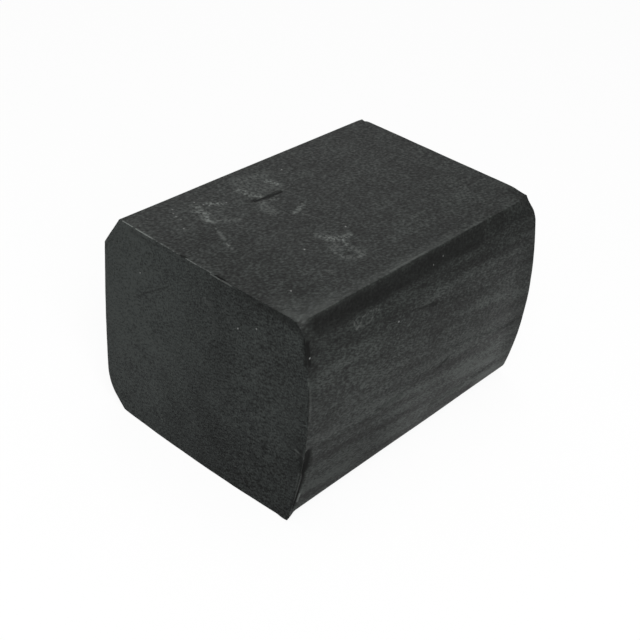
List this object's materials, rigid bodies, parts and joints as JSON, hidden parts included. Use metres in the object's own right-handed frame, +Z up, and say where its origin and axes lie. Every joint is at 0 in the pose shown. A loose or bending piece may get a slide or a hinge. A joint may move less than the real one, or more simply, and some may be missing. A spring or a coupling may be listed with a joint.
{
  "type": "rectangular rubber profile",
  "caption": "Short block of solid rubber profile with crowned flanks, rounded and chamfered long edges, knife-cut ends and a small lip where the blade came out.",
  "frame": {"origin": "centre of the base, on the surface that the block rests on", "axes": "+X across the section towards the flank with the higher crown, +Y along the extrusion from the front cut to the far cut, +Z up"},
  "size_m": [0.06, 0.08, 0.049],
  "materials": {
    "rubber": "matt dark grey, faintly greenish, with fine grain and light scuffs"
  },
  "bodies": {
    "root": {"rubber_profile": "rubber"}
  },
  "joints": []
}
